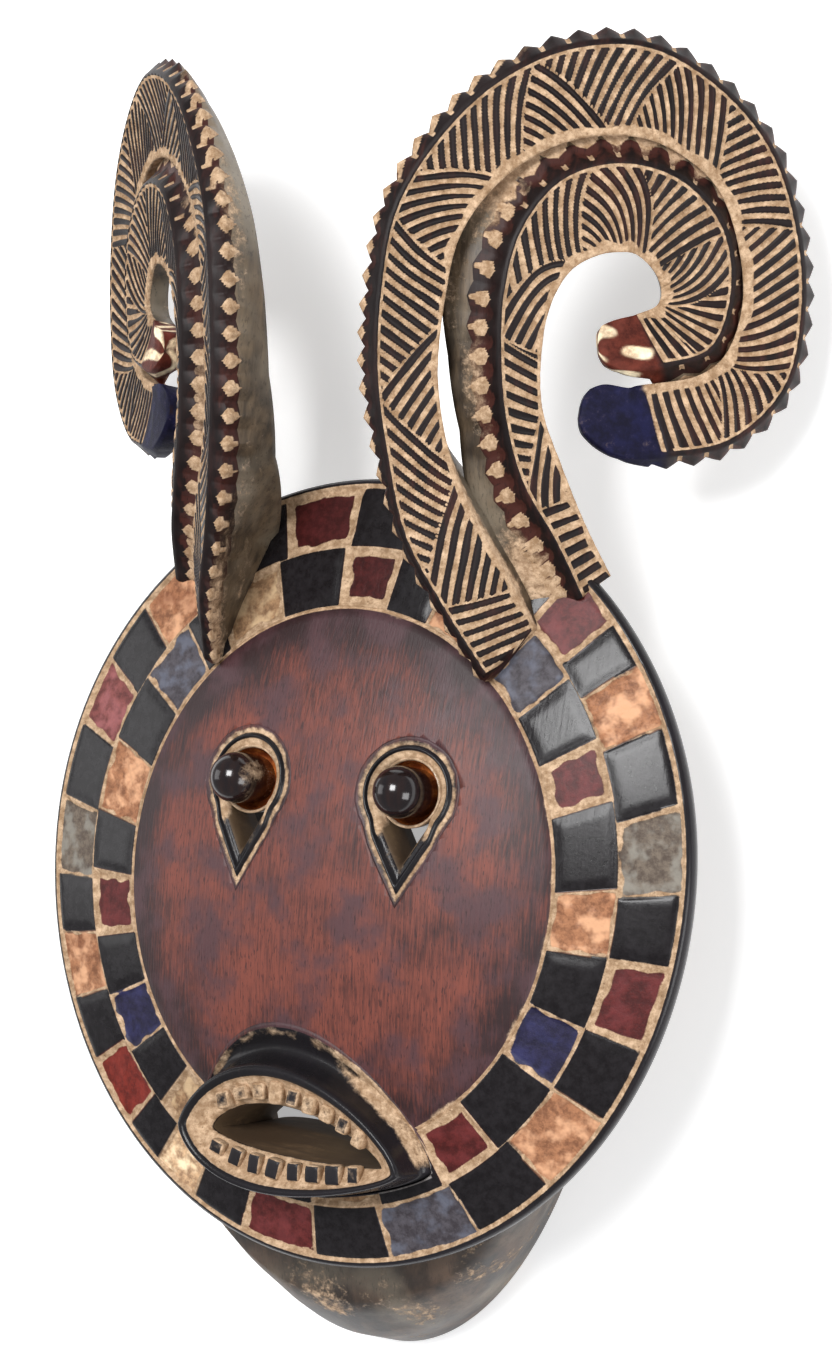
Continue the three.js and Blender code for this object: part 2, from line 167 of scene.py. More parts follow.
def carvedFinish(name, look):
    # wood in two tones streaked along the grain, then paint where "tint" says, then dust where "dust" says
    material = bpy.data.materials.new(name)
    material.use_nodes = True
    nodes, links = material.node_tree.nodes, material.node_tree.links
    shader = nodes["Principled BSDF"]
    place = nodes.new("ShaderNodeTexCoord").outputs["Object"]

    def feed(socket, value):
        # a colour or a number is set on the socket, another node's output is linked to it
        if isinstance(value, tuple):
            socket.default_value = (*value, 1)
        elif isinstance(value, (int, float)):
            socket.default_value = value
        else:
            links.new(value, socket)

    def noise(scale, detail, rough, stretch=(1, 1, 1)):
        # uneven values from 0 to 1 over the object's own coordinates, finer where they are stretched
        mapping = nodes.new("ShaderNodeMapping")
        mapping.inputs["Scale"].default_value = stretch
        links.new(place, mapping.inputs["Vector"])
        made = nodes.new("ShaderNodeTexNoise")
        links.new(mapping.outputs["Vector"], made.inputs["Vector"])
        for key, value in (("Scale", scale), ("Detail", detail), ("Roughness", rough)):
            made.inputs[key].default_value = value
        return made.outputs["Fac"]

    def attribute(key, socket="Fac"):
        # a value or a colour that the piece's points carry
        made = nodes.new("ShaderNodeAttribute")
        made.attribute_name = key
        return made.outputs[socket]

    def combine(operation, a, b):
        # one sum of two numbers or outputs
        made = nodes.new("ShaderNodeMath")
        made.operation = operation
        feed(made.inputs[0], a)
        feed(made.inputs[1], b)
        return made.outputs[0]

    plus = lambda a, b: combine("ADD", a, b)
    times = lambda a, b: combine("MULTIPLY", a, b)

    def spread(value, low, high, toLow=0.0, toHigh=1.0):
        # a smooth rise from toLow to toHigh while the value goes from low to high
        made = nodes.new("ShaderNodeMapRange")
        made.interpolation_type = "SMOOTHSTEP"
        for k, number in enumerate((value, low, high, toLow, toHigh)):
            feed(made.inputs[k], number)
        return made.outputs[0]

    def blend(factor, a, b, kind="MIX"):
        # from colour a to colour b by the factor
        made = nodes.new("ShaderNodeMix")
        made.data_type = "RGBA"
        made.blend_type = kind
        feed(made.inputs["Factor"], factor)
        feed(made.inputs[6], a)
        feed(made.inputs[7], b)
        return made.outputs[2]

    streak = noise(1.0, 5, 0.62, look["grain"])
    mottle = noise(look["mottle"], 4, 0.6)
    cloud = noise(look["mottle"] * look["cloud"], 4, 0.55)
    pores = noise(1.0, 3, 0.55, look["pores"])
    patches = noise(140, 3, 0.55)
    fine = noise(900, 5, 0.7)
    grit = noise(330, 6, 0.75)
    matt = attribute("matt")

    # wood: streaks and mottling choose between dark and light, clouds bring the third tone
    tone = plus(plus(times(streak, 0.62), times(mottle, 0.55)), times(attribute("tone"), 0.5))
    wood = blend(spread(tone, *look["toneRange"]), look["dark"], look["light"])
    wood = blend(spread(cloud, 0.43, 0.66, 0, 0.9), wood, look["third"])
    wood = blend(spread(pores, 0.56, 0.68, 0, look["poreDepth"]), wood, look["dark"])
    # paint: its colour times a gritty shade, paler and browner in patches where it is matt
    shade = blend(spread(grit, 0.36, 0.66), (0.58, 0.50, 0.48), (1.3, 1.22, 1.15))
    shade = blend(times(matt, spread(patches, 0.45, 0.66)), shade, (2.1, 2.35, 2.5))
    shade = blend(times(matt, spread(mottle, 0.56, 0.74)), shade, (0.62, 0.40, 0.34))
    paint = blend(1.0, attribute("tint", "Color"), shade, "MULTIPLY")
    # dust: light and dark grit with a few specks, and an edge that the grit makes ragged
    dustColour = blend(spread(grit, 0.36, 0.72), look["dustDark"], look["dustLight"])
    dustColour = blend(spread(fine, 0.58, 0.72, 0, 0.8), dustColour, look["dustSpeck"])
    dusty = spread(plus(attribute("dust"), times(combine("SUBTRACT", grit, 0.5), look["ragged"])), 0.36, 0.62)
    links.new(blend(dusty, blend(attribute("painted"), wood, paint), dustColour), shader.inputs["Base Color"])
    # gloss: mottled on the wood, duller where it is matt, dull in the dust
    sheen = plus(plus(times(mottle, look["roughSpread"]), look["rough"]), times(matt, 0.5))
    mixed = nodes.new("ShaderNodeMix")
    feed(mixed.inputs["Factor"], dusty)
    feed(mixed.inputs[2], sheen)
    feed(mixed.inputs[3], 0.88)
    links.new(mixed.outputs[0], shader.inputs["Roughness"])
    for socket, key in (("Coat Weight", "coat"), ("Coat Roughness", "coatRough"),
                        ("Specular IOR Level", "specular")):
        shader.inputs[socket].default_value = look[key]
    # relief: streaks, fine grain, crumpled paint and gritty dust, half a millimetre and less
    height = plus(times(streak, look["grainHeight"]), times(fine, look["fineHeight"]))
    height = plus(plus(height, times(matt, times(grit, 1.6))), times(dusty, times(grit, 0.9)))
    bump = nodes.new("ShaderNodeBump")
    bump.inputs["Strength"].default_value = look["bump"]
    bump.inputs["Distance"].default_value = 0.0006
    links.new(height, bump.inputs["Height"])
    links.new(bump.outputs["Normal"], shader.inputs["Normal"])
    return material


# what all finishes start from; each piece changes what differs
plainLook = {
    "grain": (520, 38, 260), "mottle": 26, "toneRange": (0.45, 0.85),
    "dark": (0.018, 0.010, 0.010), "light": (0.075, 0.026, 0.018), "third": (0.03, 0.02, 0.018),
    "cloud": 0.6, "pores": (1900, 330, 900), "poreDepth": 0.5,
    "dustDark": (0.29, 0.180, 0.100), "dustLight": (0.66, 0.47, 0.31), "dustSpeck": (0.10, 0.055, 0.028),
    "ragged": 0.5, "rough": 0.24, "roughSpread": 0.28, "coat": 0.12, "coatRough": 0.2,
    "grainHeight": 0.25, "fineHeight": 0.12, "bump": 0.55, "specular": 0.5,
}
fieldLook = dict(
    plainLook, dark=(0.024, 0.010, 0.011), light=(0.180, 0.046, 0.030), third=(0.066, 0.029, 0.034),
    toneRange=(0.40, 0.80), rough=0.34, coat=0.04, coatRough=0.35, mottle=48, grain=(1500, 95, 500),
    grainHeight=0.5, specular=0.34, cloud=1.3, poreDepth=0.75)
bandLook = dict(
    plainLook, dark=(0.010, 0.009, 0.010), light=(0.022, 0.016, 0.017), third=(0.015, 0.013, 0.016),
    rough=0.15, roughSpread=0.22, coat=0.03, coatRough=0.16, specular=0.22)
hullLook = dict(
    plainLook, dark=(0.014, 0.009, 0.007), light=(0.115, 0.072, 0.047), third=(0.165, 0.135, 0.100),
    rough=0.36, coat=0.0, grain=(160, 40, 160), mottle=45, bump=0.9, ragged=0.9)
hornBackLook = dict(
    hullLook, dark=(0.016, 0.010, 0.006), light=(0.130, 0.088, 0.050), third=(0.20, 0.165, 0.120),
    grain=(420, 30, 300), mottle=36, ragged=0.7)
hornLook = dict(
    plainLook, dark=(0.009, 0.006, 0.006), light=(0.055, 0.018, 0.014), third=(0.016, 0.011, 0.011),
    rough=0.30, coat=0.0, ragged=0.34, mottle=40, specular=0.13)
amberLook = dict(
    plainLook, dark=(0.15, 0.028, 0.008), light=(0.62, 0.180, 0.040), third=(0.30, 0.07, 0.016),
    rough=0.12, roughSpread=0.15, coat=0.8, coatRough=0.08, grain=(300, 300, 300), mottle=240, bump=0.9)
ballLook = dict(
    plainLook, dark=(0.006, 0.004, 0.005), light=(0.020, 0.008, 0.006), third=(0.012, 0.008, 0.008),
    rough=0.09, roughSpread=0.12, coat=0.3, coatRough=0.06, bump=0.25, specular=0.35)
tunnelLook = dict(
    plainLook, dark=(0.06, 0.034, 0.016), light=(0.24, 0.145, 0.07), third=(0.09, 0.055, 0.026),
    rough=0.55, coat=0.0, grain=(40, 500, 300), mottle=60, bump=0.8)

fieldWood = carvedFinish("polishedField", fieldLook)
bandWood = carvedFinish("checkerBand", bandLook)
hullWood = carvedFinish("agedHull", hullLook)
hornWood = carvedFinish("hornCarving", hornLook)
hornBackWood = carvedFinish("hornFlanks", hornBackLook)
amberGlaze = carvedFinish("amberSocket", amberLook)
ballGlaze = carvedFinish("blackBall", ballLook)
lipWood = carvedFinish("blackLip", dict(bandLook, rough=0.16))
tunnelWood = carvedFinish("mouthTunnel", tunnelLook)

# the face: ovals with half width, half height above and below, middle and level
face = {
    "outer": (115, 118, 125, 0, 0),
    "bandMiddle": (96, 100.5, 105, -2.8, 5),
    "field": (77.3, 84.5, 84.5, -5.5, 8.9),
    "fieldRise": 12.5, "fieldStep": 0.9, "bandFall": 21, "rim": 2.2, "thick": 9, "wall": 9, "faceThick": 12,
    "columns": 720, "rowsInBand": 21, "fieldRows": 30,
    "hull": [(0, 0.783, 1.040, 0.898), (0.2, 0.765, 1.136, 0.932), (0.54, 0.696, 1.224, 0.949),
             (1, 0.609, 1.264, 0.949)],
    "hullFullness": 0.72, "recess": 0.9, "cushion": 0.34,
}
# each finish: colour, how matt and crumpled, how far the dust reaches in from its edges in mm
finishes = {
    "black": ((0.012, 0.011, 0.013), 0.0, -1.0),
    "red": ((0.15, 0.018, 0.012), 0.3, 0.8),
    "maroon": ((0.092, 0.017, 0.017), 0.4, 1.1),
    "maroonTan": ((0.080, 0.013, 0.013), 0.4, 1.7),
    "darkRed": ((0.050, 0.009, 0.009), 0.15, 2.3),
    "gold": ((0.31, 0.150, 0.080), 1.0, -0.2),
    "cream": ((0.52, 0.36, 0.22), 0.95, 0.6),
    "pink": ((0.17, 0.052, 0.050), 0.6, 1.0),
    "blueGrey": ((0.062, 0.060, 0.074), 0.6, 0.4),
    "blue": ((0.016, 0.015, 0.048), 0.45, 0.2),
    "grey": ((0.125, 0.105, 0.085), 0.7, 0.4),
    "tan": ((0.30, 0.19, 0.105), 0.8, 1.6),
}
# squares counter-clockwise from the face's right: the angle at which each one ends, in degrees
outerRow = [(12.5, "grey"), (24, "black"), (34.5, "gold"), (41.5, "black"), (52, "maroon"), (62, "black"),
            (72, "blue"), (93.5, "black"), (108, "darkRed"), (121, "black"), (140, "gold"), (150.5, "black"),
            (162, "pink"), (174, "black"), (186, "grey"), (196, "black"), (206.5, "gold"), (217, "black"),
            (228.5, "red"), (235.5, "black"), (245, "cream"), (256, "black"), (270.5, "maroon"),
            (283.5, "black"), (299, "blueGrey"), (313.2, "black"), (326.2, "gold"), (337.5, "black"),
            (349, "maroonTan"), (360, "black")]
innerRow = [(2, "gold"), (15.5, "black"), (27.5, "maroonTan"), (38.5, "black"), (50, "blueGrey"),
            (61, "black"), (70, "gold"), (82, "black"), (94.5, "darkRed"), (110.5, "black"), (126, "tan"),
            (134, "black"), (147, "blueGrey"), (160, "black"), (173.5, "gold"), (184.5, "black"),
            (196.5, "maroonTan"), (207.5, "black"), (219, "blue"), (231, "black"), (239, "tan"),
            (270, "black"), (286, "tan"), (298.5, "black"), (311, "maroonTan"), (325.5, "black"),
            (338, "blue"), (349.5, "black"), (360, "gold")]


def ovalRing(oval, angle, grow=0.0, scale=1.0):
    # half width times cosine and half height times sine, with its own half height above and below
    wide, above, below, middle, level = oval
    half = np.where(np.sin(angle) > 0, above, below)
    x = (wide * scale + grow) * np.cos(angle)
    y = middle + (half * scale + grow) * np.sin(angle)
    return np.stack([x, y, np.full_like(x, level)], -1)


def fieldShare(x, y):
    # the share of the way from the field's middle to its edge: 1 on the edge, more outside
    wide, above, below, middle, level = face["field"]
    return np.hypot(x / wide, (y - middle) / np.where(y > middle, above, below))


def fieldLevel(x, y):
    # the domed field: its rise times one less the squared share of the way to the edge
    share = np.minimum(1, fieldShare(x, y))
    return face["field"][4] + face["fieldRise"] * (1 - share * share)


def plateLevel(x, y):
    # level of the whole front: the field's dome inside it, the band's slope outside it
    share = fieldShare(x, y)
    return np.where(share < 1, fieldLevel(x, y), face["field"][4] - (share - 1) * face["bandFall"])


def hullRing(section, angle, inset, level):
    # an oval from the section's lowest to its highest point, its upper half with squarer shoulders
    share, wide, low, high = section
    low, high = -low * face["outer"][2], high * face["outer"][1]
    across = np.cos(angle)
    power = np.where(np.sin(angle) > 0, face["hullFullness"], 1.0)
    x = (wide * face["outer"][0] - inset) * np.sign(across) * np.abs(across) ** power
    y = (low + high) / 2 + ((high - low) / 2 - inset) * np.sin(angle)
    return np.stack([x, y, np.full_like(x, level)], -1)


def squareValues(degrees, share, millimetres, row, rowWidth, seed):
    # which square each point is in, its distance to that square's nearest edge, and what follows from both
    ends = np.array([end for end, name in row], float)
    starts = np.concatenate([[0.0], ends[:-1]])
    slant = 0.9 * wobble(np.radians(degrees) * 40, share * 3, seed, 6)
    turned = np.clip(degrees + slant, 0, 359.99)
    index = np.searchsorted(ends, turned, side="right").clip(0, len(row) - 1)
    toStart, toEnd = turned - starts[index], ends[index] - turned
    if row[0][1] == row[-1][1]:
        # the first and the last entry are one square
        toStart = np.where(index == 0, 9, toStart)
        toEnd = np.where(index == len(row) - 1, 9, toEnd)
    edge = np.minimum(np.minimum(toStart, toEnd) * millimetres, np.minimum(share, 1 - share) * rowWidth)
    colour, matt, reach = (np.array([finishes[name][k] for end, name in row])[index] for k in range(3))
    plain = reach < -0.5
    along, across = degrees * millimetres, share * rowWidth
    rag = 0.55 * wobble(along, across, seed + 3, 1.6)
    dust = np.where(plain, 0.0, 1 - smoothStep(-0.2, 1.5, edge - np.maximum(reach, 0) + rag))
    dust = np.maximum(dust, 0.52 * (1 - smoothStep(0.0, 0.5, edge)))
    drop = np.where(plain, face["cushion"] * smoothStep(0, 3.5, edge),
                    -face["recess"] * smoothStep(0.2, 1.2, edge))
    crumple = np.where(matt > 0.8, 0.28 * wobble(along, across, seed + 7, 0.8), 0)
    return colour, matt, dust, drop + crumple * smoothStep(0.5, 2, edge)


def faceBody():
    # one closed skin: rings run from the field's middle over the band, the rim and the hull into the hollow
    columns = face["columns"]
    angle = turns(columns)
    degrees = np.degrees(angle)
    rows, slots = [], []
    values = {"dust": [], "tint": [], "painted": [], "matt": [], "tone": []}

    def addRow(points, slot, dust=0.0, tint=0.0, painted=0.0, matt=0.0, tone=0.0):
        # one more ring, with its finish and its values
        rows.append(points)
        slots.append(slot)
        for key, value in zip(values, (dust, tint, painted, matt, tone)):
            values[key].append(np.broadcast_to(value, (columns, 3) if key == "tint" else columns))

    for share in np.linspace(0.03, 0.985, face["fieldRows"]):
        ring = ovalRing(face["field"], angle, 0, share)
        ring[:, 2] = fieldLevel(ring[:, 0], ring[:, 1])
        ragged = 0.5 * (share > 0.96) * (0.5 + 0.5 * wobble(ring[:, 0], ring[:, 1], 5, 4))
        # darker towards the field's edge and its top
        shade = 0.12 - 0.45 * smoothStep(0.74, 1.0, share) - 0.18 * smoothStep(20, 80, ring[:, 1])
        addRow(ring, 0, dust=ragged, tone=shade)
    # the step at the field's edge: growth, share of the step, dust
    for grow, fall, dust in ((-0.9, 0.2, 0.75), (-0.2, 1.0, 0.9)):
        ring = ovalRing(face["field"], angle, grow)
        ring[:, 2] -= face["fieldStep"] * fall
        addRow(ring, 1, dust)

    # the band's two rows of squares, with closer rings at the squares' edges
    ovals = [face["field"], face["bandMiddle"], face["outer"]]
    line = np.linspace(0, 1, face["rowsInBand"])
    line = np.clip(line - 0.035 * np.sin(4 * np.pi * line), 0, 1)
    for k, row in enumerate((innerRow, outerRow)):
        a, b = ovalRing(ovals[k], angle), ovalRing(ovals[k + 1], angle)
        width = np.linalg.norm(a - b, axis=1)
        radius = np.hypot(*((a + b) / 2)[:, :2].T)
        for share in line[k:]:
            colour, matt, dust, drop = squareValues(degrees, share, radius * np.pi / 180, row, width, 11 + k)
            points = a * (1 - share) + b * share
            points[:, 2] += drop
            if k == 1:
                # a dusty line runs round just inside the outer edge
                dust = np.maximum(dust, smoothStep(0.925, 0.945, share) * 0.95)
                points[:, 2] -= 0.5 * smoothStep(0.92, 0.95, share) * (1 - smoothStep(0.97, 1.0, share))
            addRow(points, 1, dust, colour, 1.0, matt)

    # the rim: growth, level, dust
    rim, thick = face["rim"], face["thick"]
    rimRings = [(0.7, -0.1, 0.1), (1.2, -0.4, 0), (rim * 0.9, -1.2, 0), (rim, -thick * 0.3, 0),
                (rim, -thick * 0.42, 0), (rim * 0.6, -thick * 0.7, 0.1), (-0.6, -thick * 0.9, 0.2),
                (-3, -thick, 0.3)]
    for grow, level, dust in rimRings:
        ring = ovalRing(face["outer"], angle, grow)
        ring[:, 2] = level
        addRow(ring, 1 if level > -4 else 2, dust)

    sections = face["hull"]
    start = thick / 2

    def hullAt(share, inset):
        # the hull's ring at a share of its depth, between its named sections
        shares = [s[0] for s in sections]
        middle = [np.interp(share, shares, [s[k] for s in sections]) for k in (1, 2, 3)]
        return hullRing((share, *middle), angle, inset, -(start + (hullDepth - start) * share))

    def worn(ring, seed):
        # thin dust, about a quarter, in slow patches
        return 0.25 + 0.22 * wobble(ring[:, 0], ring[:, 1] + ring[:, 2], seed, 9)

    first = hullAt((thick - start) / (hullDepth - start), 0)
    outerFoot = rows[-1]
    inside = np.hypot(first[:, 0], first[:, 1]) < np.hypot(outerFoot[:, 0], outerFoot[:, 1])
    first = np.where(inside[:, None], first, outerFoot * [0.998, 0.998, 1])
    addRow(first, 2, worn(first, 21))
    # down the hull, round its back rim and up the hollow: share of the depth, inset, seed, how dusty
    wall = face["wall"]
    hullRings = [(share, 0, 21, 1) for share in np.linspace(0.16, 0.985, 9)]
    hullRings += [(1.0, inset, 22, 1) for inset in (0.8, 3, wall - 1.5)]
    hullRings += [(share, wall, 23, 0.6) for share in np.linspace(0.985, 0.25, 9)]
    for share, inset, seed, dirt in hullRings:
        ring = hullAt(share, inset)
        addRow(ring, 2, worn(ring, seed) * dirt)
    # the vault behind the face: share of its oval, level
    wide, above, below, middle, level = face["field"]
    vaultTop = level + face["fieldRise"] - face["faceThick"]
    vaultRings = [(0.98, -9), (0.92, -4), (0.84, 0.5), (0.72, vaultTop * 0.45), (0.6, vaultTop * 0.72),
                  (0.45, vaultTop * 0.9), (0.3, vaultTop), (0.1, vaultTop)]
    for share, height in vaultRings:
        ring = ovalRing((wide - 2, above, below, middle - 6, 0), angle, 0, share)
        ring[:, 2] = height
        addRow(ring, 2, worn(ring, 24) * 0.5)

    ends = np.array([[0, middle, level + face["fieldRise"]], [0, middle - 6, vaultTop]])
    points, quads, caps = closedTube(np.stack(rows), ends)
    values = {key: np.concatenate(kept + [np.zeros((2,) + kept[0].shape[1:])])
              for key, kept in values.items()}
    return newPiece("faceAndHull", points, quads, caps, values, np.repeat(slots[:-1], columns),
                    (fieldWood, bandWood, hullWood))


def holeTool(outline):
    # an upright cutter with the given outline, closed below and above
    rings = [np.concatenate([outline, np.full((len(outline), 1), level)], 1) for level in (-30.0, 40.0)]
    points, quads, caps = closedTube(np.stack(rings), [ring.mean(0) for ring in rings])
    return newPiece("holeTool", points, quads, caps, materials=(hullWood,))


# eyes: a ridge round a dished socket that runs down to a point, a ball in it and a slit below
eye = {
    "aside": 29.0, "up": 22.4, "columns": 160, "halfAngle": 30.5,
    # rings from outside in: circle radius, tip's distance below, height over the field, dust
    "rings": [
        (17.6, 36, -1.6, 0.0), (17.2, 35.3, 0.03, 0.0), (16.5, 34.2, 0.02, 0.40), (15.7, 32.9, -0.3, 0.62),
        (15.0, 31.8, -0.55, 0.72), (14.6, 31.1, -0.4, 0.5), (14.3, 30.5, 0.3, 0.0), (13.9, 29.8, 0.95, 0.0),
        (13.4, 28.8, 0.95, 0.0), (13.0, 28.0, 0.2, 0.1), (12.7, 27.3, -0.4, 0.9), (11.9, 25.8, -0.6, 1.0),
        (11.0, 24.0, -0.9, 1.0), (10.4, 22.6, -1.9, 0.8), (10.1, 21.4, -4.2, 0.42), (9.9, 20.6, -9.0, 0.25),
        (9.9, 20.2, -14.0, 0.2)],
    # the socket's cup from its foot over its lip to its floor: radius, height over the field's level
    "cup": [(9.5, -13), (10.1, -11), (10.6, -6), (10.9, -2.2), (10.5, -1.7), (10.0, -2.2), (9.7, -3.6),
            (9.3, -5.4), (8.4, -7.4), (6.5, -8.2), (3.0, -8.4)],
    "ball": 8.0, "ballRise": 3.3, "ballShift": {-1: -2.3, 1: -0.6}, "ballDust": {-1: 0.46, 1: 0.30},
    "fieldRings": 3, "slitRings": 12, "hole": (16.6, 34.5), "latheColumns": 64,
}


def fromDown(angle):
    # how far an angle is from straight down, in radians
    return np.abs((angle + np.pi / 2 + np.pi) % (2 * np.pi) - np.pi)


def tearDrop(angle, radius, tip):
    # a circle whose lower part runs out along two straight lines to a tip below it
    half, away = np.radians(eye["halfAngle"]), fromDown(angle)
    straight = tip * np.sin(half) / np.sin(np.minimum(half + away, np.pi * 0.9))
    return radius + (np.maximum(straight, radius) - radius) * (1 - smoothStep(0.56, 0.98, away))


def eyeHole(side):
    # the cutter down the socket and the slit, with the ring's own outline
    angle = turns(64)
    reach = tearDrop(angle, *eye["hole"])
    x, y = side * eye["aside"] + reach * np.cos(angle), eye["up"] + reach * np.sin(angle)
    return holeTool(np.stack([x, y], -1))


def eyePieces(side, word):
    # the ridge and the slit as rings of one tear drop, then the socket and the ball as turned shapes
    centre = np.array([side * eye["aside"], eye["up"]])
    centreLevel = float(fieldLevel(*centre))
    columns = eye["columns"]
    # more columns near the tip, where the outline turns sharply
    angle = turns(columns) - np.pi
    angle = -np.pi / 2 + angle - 0.35 * np.sin(angle)
    rows, dust = [], []
    for radius, tip, height, amount in eye["rings"]:
        rag = 0.10 * wobble(angle * 12, angle * 0, 31 + side, 1.0) * (radius > 15)
        reach = tearDrop(angle, radius, tip) + rag
        x, y = centre[0] + reach * np.cos(angle), centre[1] + reach * np.sin(angle)
        z = (fieldLevel(x, y) if height > -2 else np.full(columns, centreLevel)) + height
        rows.append(np.stack([x, y, z], -1))
        # inside the ridge the pointed part is dark, and only the round part is dusty
        if radius < 12.8:
            amount = amount * (0.36 + 0.64 * smoothStep(0.4, 0.75, fromDown(angle)))
        if radius >= 14.8:
            amount = amount * (0.86 + 0.16 * wobble(angle * 20, angle, 41 + side, 2.5))
        dust.append(np.clip(amount * np.ones(columns), 0, 1))
    # back under the skin to where the first ring starts
    under = rows[0].copy()
    under[:, 2] = np.minimum(rows[-1][:, 2], rows[0][:, 2] - 3)
    rows.append(under)
    dust.append(np.zeros(columns))
    points = np.concatenate(rows)
    values = {"dust": np.concatenate(dust), "tone": np.full(len(points), -0.25)}
    # the outer rings lie in the field and take its finish, and the slit's walls are bare and brown
    ringNumber = np.repeat(np.arange(len(rows)), columns)
    slots = np.where(ringNumber < eye["fieldRings"], 1, np.where(ringNumber < eye["slitRings"], 0, 2))
    keepPiece(newPiece(word + "EyeRing", points, gridQuads(len(rows), columns, True), None, values, slots,
                       (bandWood, fieldWood, tunnelWood)))

    def lathe(name, profile, x, material, dustOf):
        # a profile of radius and level turned about an upright line, closed at both ends
        turn = turns(eye["latheColumns"])
        rings = [np.stack([x + r * np.cos(turn), centre[1] + r * np.sin(turn), np.full(len(turn), z)], -1)
                 for r, z in profile]
        ends = [[x, centre[1], profile[0][1]], [x, centre[1], profile[-1][1]]]
        points, quads, caps = closedTube(np.stack(rings), ends)
        keepPiece(newPiece(name, points, quads, caps, {"dust": dustOf(points)}, materials=(material,)))

    cup = [(radius, centreLevel + height) for radius, height in eye["cup"]]
    rimDust = lambda p: smoothStep(centreLevel - 3.2, centreLevel - 2.0, p[:, 2]) * 0.9
    lathe(word + "EyeSocket", cup, centre[0], amberGlaze, rimDust)
    # the ball stands on a stub and is dusty on its right
    radius, rise = eye["ball"], centreLevel + eye["ballRise"]
    ball = [(radius * 0.93, centreLevel - 9), (radius * 0.97, centreLevel - 3), (radius, centreLevel),
            (radius, rise)]
    ball += [(radius * np.cos(t), rise + radius * np.sin(t)) for t in np.radians(np.arange(7, 88, 7))]
    x = centre[0] + eye["ballShift"][side]
    ballDust = lambda p: eye["ballDust"][side] * smoothStep(x + 0.5, x + 7, p[:, 0]) * (
        0.85 + 0.2 * wobble(p[:, 1], p[:, 2], 51, 2.5))
    lathe(word + "EyeBall", ball, x, ballGlaze, ballDust)


# mouth: almond rings leaning to the left, from the hood above it down into the throat
mouth = {
    "x": -1.0, "y": -89.4, "tilt": -3.6, "power": 1.3, "leanAbove": 0.25, "leanBelow": 0.35, "columns": 288,
    # half width, above, below, level (None follows the face), height over the face, dust, material
    "rings": [
        (44.0, 37.4, 17.0, None, -3.0, 0.0, 2), (43.4, 36.2, 16.5, None, 0.05, 0.10, 2),
        (42.6, 34.6, 15.9, None, 0.0, 0.55, 0), (42.0, 33.2, 15.7, None, -0.7, 0.62, 0),
        (41.6, 31.4, 15.6, None, -1.7, 0.44, 0), (41.3, 29.2, 15.5, 12.6, 0, 0.30, 0),
        (41.2, 27.2, 15.4, 13.0, 0, 0.26, 0), (41.0, 25.4, 15.2, 15.4, 0, 0.12, 0),
        (40.8, 24.2, 15.0, 19.0, 0, 0.0, 0), (40.6, 23.5, 14.8, 21.8, 0, 0.0, 0),
        (40.3, 22.9, 14.5, 22.7, 0, 0.0, 0), (39.8, 22.2, 14.0, 23.1, 0, 0.0, 0),
        (38.9, 21.2, 13.2, 23.0, 0, 0.0, 0), (38.0, 20.3, 12.5, 22.5, 0, 0.05, 0),
        (37.4, 19.8, 12.1, 21.8, 0, 0.7, 0), (37.0, 19.4, 11.7, 21.0, 0, 1.0, 0),
        (36.2, 18.4, 10.9, 20.4, 0, 1.0, 0), (35.0, 16.6, 9.0, 19.2, 0, 0.95, 0),
        (33.6, 14.4, 6.8, 18.2, 0, 0.9, 0), (32.4, 12.6, 4.8, 17.6, 0, 1.0, 0),
        (31.7, 11.6, 3.7, 17.1, 0, 0.85, 0), (31.3, 11.2, 3.3, 16.0, 0, 0.35, 1),
        (31.0, 11.2, 2.6, 12.0, 0, 0.12, 1), (30.4, 11.4, 1.2, 6.0, 0, 0.1, 1),
        (29.6, 11.7, -1.4, -4.0, 0, 0.1, 1), (28.8, 12.0, -4.0, -14.0, 0, 0.1, 1)],
    "tooth": (5.0, 6.4, 4.4), "upper": 9, "lower": 8, "toothLevel": 19.2, "toothRings": 13,
    "toothColumns": 24, "toothSpan": 33.5, "squareness": 0.35, "hole": (42.7, 34.8, 16.0),
}


def inMouth(x, y):
    # turned by the mouth's tilt and moved to its middle
    return np.array([mouth["x"], mouth["y"]]) + turnedBy(np.radians(mouth["tilt"]), x, y)


def almondRing(angle, halfWidth, above, below):
    # cosine across, a power of the sine up and down, both bulges fuller to the left
    t = np.cos(angle)
    bulge = np.abs(np.sin(angle)) ** mouth["power"]
    y = np.where(np.sin(angle) > 0, above * bulge * (1 - mouth["leanAbove"] * t),
                 -below * bulge * (1 - mouth["leanBelow"] * t))
    return inMouth(halfWidth * t, y)


